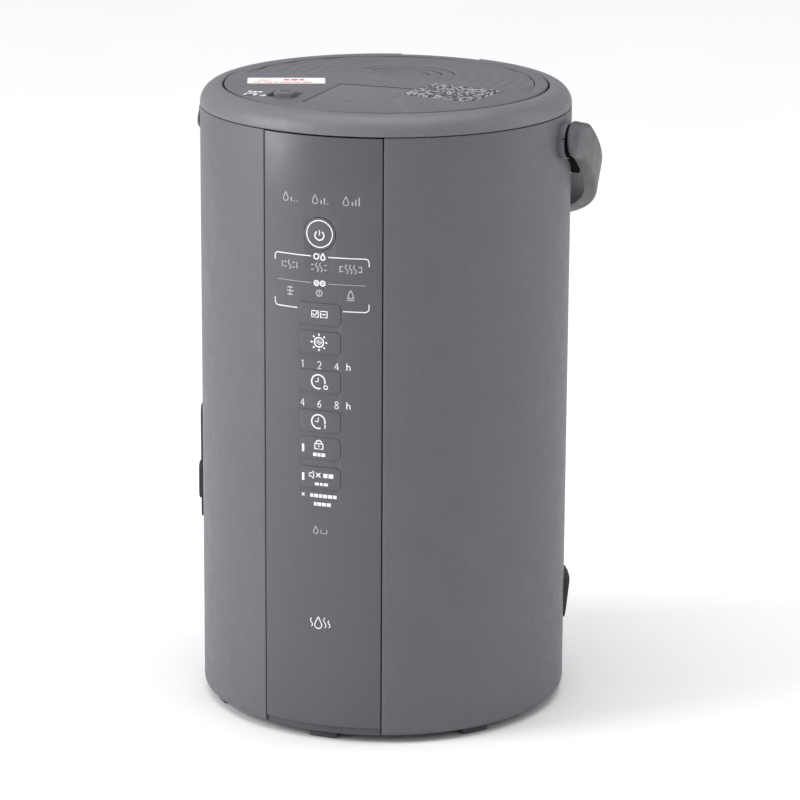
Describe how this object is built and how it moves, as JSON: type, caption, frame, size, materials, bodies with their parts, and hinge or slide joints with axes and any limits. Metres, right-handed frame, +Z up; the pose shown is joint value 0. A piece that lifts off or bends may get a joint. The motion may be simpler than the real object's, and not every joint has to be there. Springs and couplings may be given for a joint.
{
  "type": "steam humidifier",
  "caption": "Round pot-type steam humidifier with a hinged lid, release lever, lock slider, rippled steam outlet, key strip down the front and a swing-over bail handle.",
  "frame": {"origin": "on the floor plane under the middle of the overall box; the body's own axis stands 19.9 mm in front of it", "axes": "+X to the right seen from the front, -Y is the front with the keys, +Z is up"},
  "size_m": [0.2386, 0.2598, 0.378],
  "materials": {
    "shell": "fine satin moulded plastic, cool mid grey",
    "panel": "smooth satin film-covered plastic, slightly darker grey",
    "lid": "fine satin moulded plastic, cool mid grey",
    "handle": "satin moulded plastic, cool grey",
    "key": "satin plastic, same grey as the panel",
    "dark": "matt near-black plastic",
    "rubber": "soft matt grey rubber",
    "silicone": "translucent off-white silicone",
    "white": "off-white moulded plastic",
    "pot": "dark non-stick coating on steel",
    "steel": "bare sheet steel",
    "brass": "bare brass and copper",
    "board": "green solder mask",
    "filter": "dark open mesh"
  },
  "bodies": {
    "body": {"body_shell": "shell", "front_panel": "panel", "panel_carrier": "dark", "base_pan": "shell", "foot_1": "rubber", "foot_2": "rubber", "foot_3": "rubber", "foot_4": "rubber", "foot_5": "rubber", "foot_6": "rubber", "foot_7": "rubber", "handle_stop_left": "rubber", "handle_stop_right": "rubber", "shoulder_ring": "shell", "hinge_pin": "steel", "hinge_post_left": "dark", "hinge_post_right": "dark", "inner_pot": "pot", "pot_heater": "steel", "thermostat": "dark", "thermal_fuse": "white", "pot_sensor": "steel", "heat_shield": "steel", "main_board": "board", "power_relay": "dark", "transformer": "brass", "display_board": "board", "power_inlet": "dark", "inlet_contact_upper": "brass", "inlet_contact_lower": "brass", "intake_cover": "dark", "intake_filter": "filter", "fan_housing": "dark", "fan_motor": "steel", "air_duct": "dark", "humidity_sensor": "white", "pivot_boss_left": "shell", "pivot_boss_right": "shell"},
    "fan": {"fan_impeller": "white"},
    "lid": {"lid_cover": "lid", "hinge_spring": "steel", "lid_base": "lid", "inner_lid": "steel", "lid_gasket": "silicone", "steam_duct": "white", "steam_outlet": "lid", "lever_pin": "steel", "latch_spring": "steel"},
    "lever": {"lever_flap": "lid"},
    "latch": {"latch": "white"},
    "lock": {"lock_slider": "lid"},
    "handle": {"handle": "handle", "handle_grip": "rubber"},
    "key_power": {"key_power": "key"},
    "key_select": {"key_select": "key"},
    "key_light": {"key_light": "key"},
    "key_off_timer": {"key_off_timer": "key"},
    "key_on_timer": {"key_on_timer": "key"},
    "key_lock": {"key_lock": "key"},
    "key_quiet": {"key_quiet": "key"}
  },
  "joints": [
    {"name": "lid_hinge", "type": "hinge", "parent": "body", "child": "lid", "pos_m": [0, 0.07913, 0.3675], "axis": [-1, 0, 0], "range_deg": [0, 80]},
    {"name": "lever_hinge", "type": "hinge", "parent": "lid", "child": "lever", "pos_m": [0, -0.04037, 0.3685], "axis": [-1, 0, 0], "range_deg": [0, 25], "stiffness_Nm_per_rad": 0.05},
    {"name": "latch_slide", "type": "slide", "parent": "lid", "child": "latch", "axis": [0, 1, 0], "range_m": [0, 0.004]},
    {"name": "lock_slide", "type": "slide", "parent": "lid", "child": "lock", "axis": [-1, 0, 0], "range_m": [0, 0.005]},
    {"name": "handle_swing", "type": "hinge", "parent": "body", "child": "handle", "pos_m": [0, -0.01987, 0.3475], "axis": [1, 0, 0], "range_deg": [0, 125]},
    {"name": "fan_spin", "type": "hinge", "parent": "body", "child": "fan", "pos_m": [-0.09383, -0.03473, 0.14], "axis": [-0.9877, -0.1564, 0], "continuous": true},
    {"name": "power_key_press", "type": "slide", "parent": "body", "child": "key_power", "axis": [0, 1, 0], "range_m": [0, 0.0006], "stiffness_N_per_m": 1000},
    {"name": "select_key_press", "type": "slide", "parent": "body", "child": "key_select", "axis": [0, 1, 0], "range_m": [0, 0.0006], "stiffness_N_per_m": 1000},
    {"name": "light_key_press", "type": "slide", "parent": "body", "child": "key_light", "axis": [0, 1, 0], "range_m": [0, 0.0006], "stiffness_N_per_m": 1000},
    {"name": "off_timer_key_press", "type": "slide", "parent": "body", "child": "key_off_timer", "axis": [0, 1, 0], "range_m": [0, 0.0006], "stiffness_N_per_m": 1000},
    {"name": "on_timer_key_press", "type": "slide", "parent": "body", "child": "key_on_timer", "axis": [0, 1, 0], "range_m": [0, 0.0006], "stiffness_N_per_m": 1000},
    {"name": "lock_key_press", "type": "slide", "parent": "body", "child": "key_lock", "axis": [0, 1, 0], "range_m": [0, 0.0006], "stiffness_N_per_m": 1000},
    {"name": "quiet_key_press", "type": "slide", "parent": "body", "child": "key_quiet", "axis": [0, 1, 0], "range_m": [0, 0.0006], "stiffness_N_per_m": 1000}
  ],
  "couplings": [
    {"joint": "latch_slide", "follows": "lever_hinge", "m_per_rad": 0.009}
  ]
}
